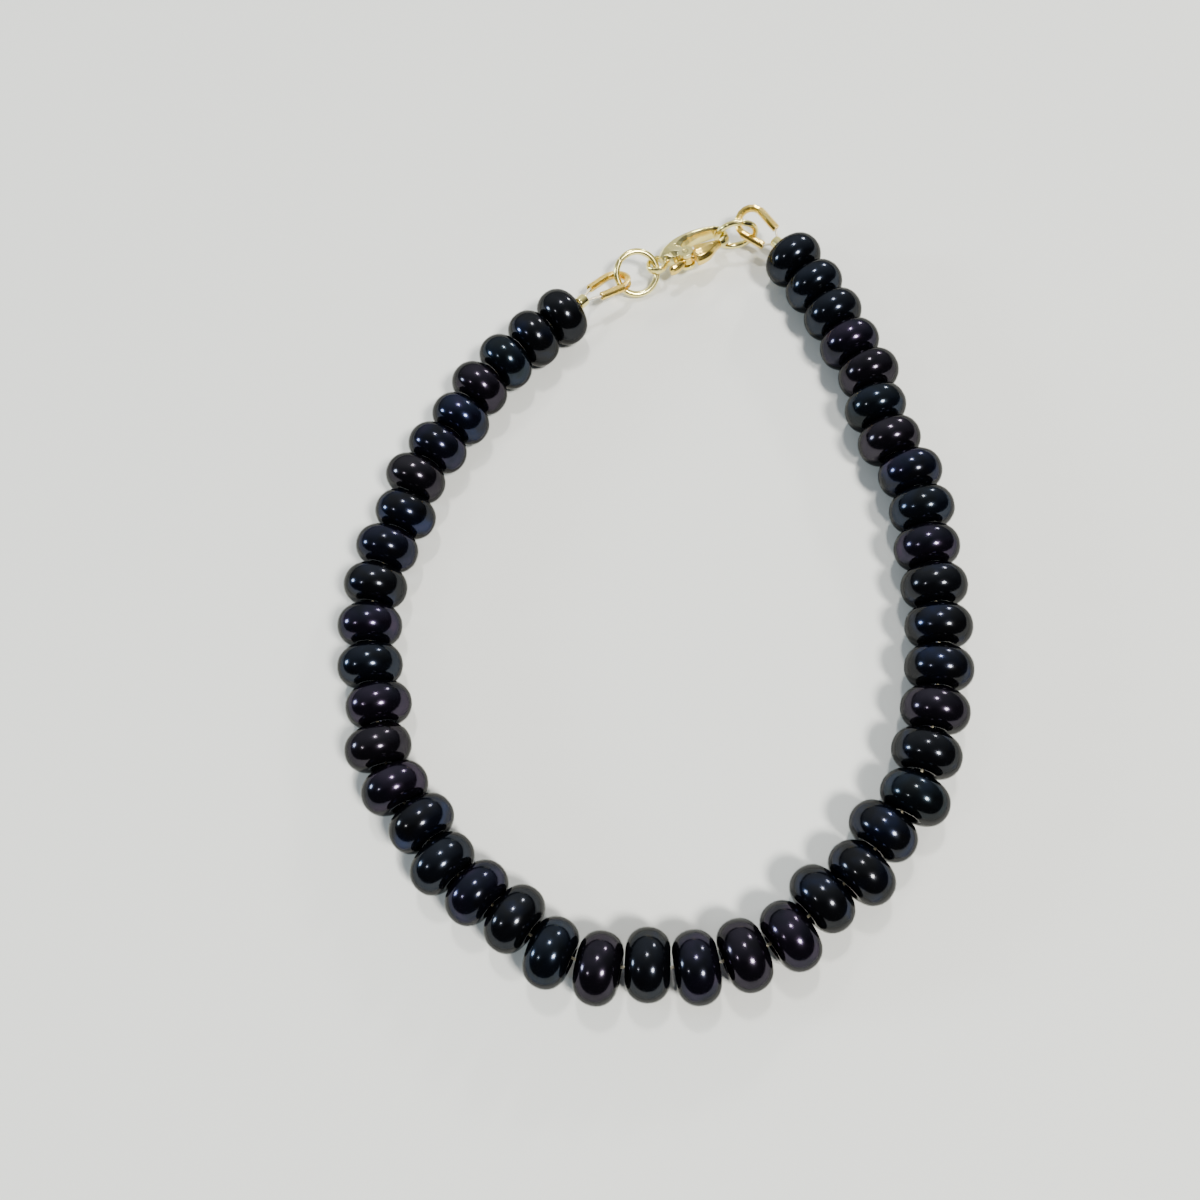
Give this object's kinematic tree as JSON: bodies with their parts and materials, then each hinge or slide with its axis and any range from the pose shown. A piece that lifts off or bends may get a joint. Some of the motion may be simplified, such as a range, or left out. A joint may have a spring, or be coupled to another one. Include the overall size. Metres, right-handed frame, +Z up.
{
  "type": "beaded bracelet",
  "caption": "Beaded bracelet of glossy black glass rondelles on clear thread, closed by a gold-coloured lobster clasp between jump rings.",
  "frame": {"origin": "middle of the lying bracelet's box, on the surface it lies on", "axes": "+Z up from the surface, +Y along the loop's length towards the clasp, +X to the right of it"},
  "size_m": [0.0588, 0.0768, 0.006],
  "materials": {
    "black_glass": "glossy with a faint blue and violet lustre",
    "clear_nylon": "clear, slightly milky",
    "pale_gold": "polished, pale yellow gold plating",
    "warm_gold": "polished, warm gold plating"
  },
  "bodies": {
    "bracelet": {"bead_01": "black_glass", "bead_02": "black_glass", "bead_03": "black_glass", "bead_04": "black_glass", "bead_05": "black_glass", "bead_06": "black_glass", "bead_07": "black_glass", "bead_08": "black_glass", "bead_09": "black_glass", "bead_10": "black_glass", "bead_11": "black_glass", "bead_12": "black_glass", "bead_13": "black_glass", "bead_14": "black_glass", "bead_15": "black_glass", "bead_16": "black_glass", "bead_17": "black_glass", "bead_18": "black_glass", "bead_19": "black_glass", "bead_20": "black_glass", "bead_21": "black_glass", "bead_22": "black_glass", "bead_23": "black_glass", "bead_24": "black_glass", "bead_25": "black_glass", "bead_26": "black_glass", "bead_27": "black_glass", "bead_28": "black_glass", "bead_29": "black_glass", "bead_30": "black_glass", "bead_31": "black_glass", "bead_32": "black_glass", "bead_33": "black_glass", "bead_34": "black_glass", "bead_35": "black_glass", "bead_36": "black_glass", "bead_37": "black_glass", "bead_38": "black_glass", "bead_39": "black_glass", "bead_40": "black_glass", "bead_41": "black_glass", "bead_42": "black_glass", "bead_43": "black_glass", "bead_44": "black_glass", "thread": "clear_nylon", "thread_guard_left": "warm_gold", "thread_guard_right": "warm_gold", "crimp_left": "pale_gold", "crimp_right": "pale_gold", "jump_ring_left": "pale_gold", "jump_ring_right": "pale_gold", "clasp_body": "pale_gold", "clasp_pin": "pale_gold"},
    "lever": {"clasp_lever": "warm_gold"}
  },
  "joints": [
    {"name": "clasp_lever_hinge", "type": "hinge", "parent": "bracelet", "child": "lever", "pos_m": [0.01092, 0.03401, 0.00242], "axis": [-0.116, 0.2378, 0.9644], "range_deg": [0, 20], "stiffness_Nm_per_rad": 0.003, "springref_deg": -8.59}
  ]
}
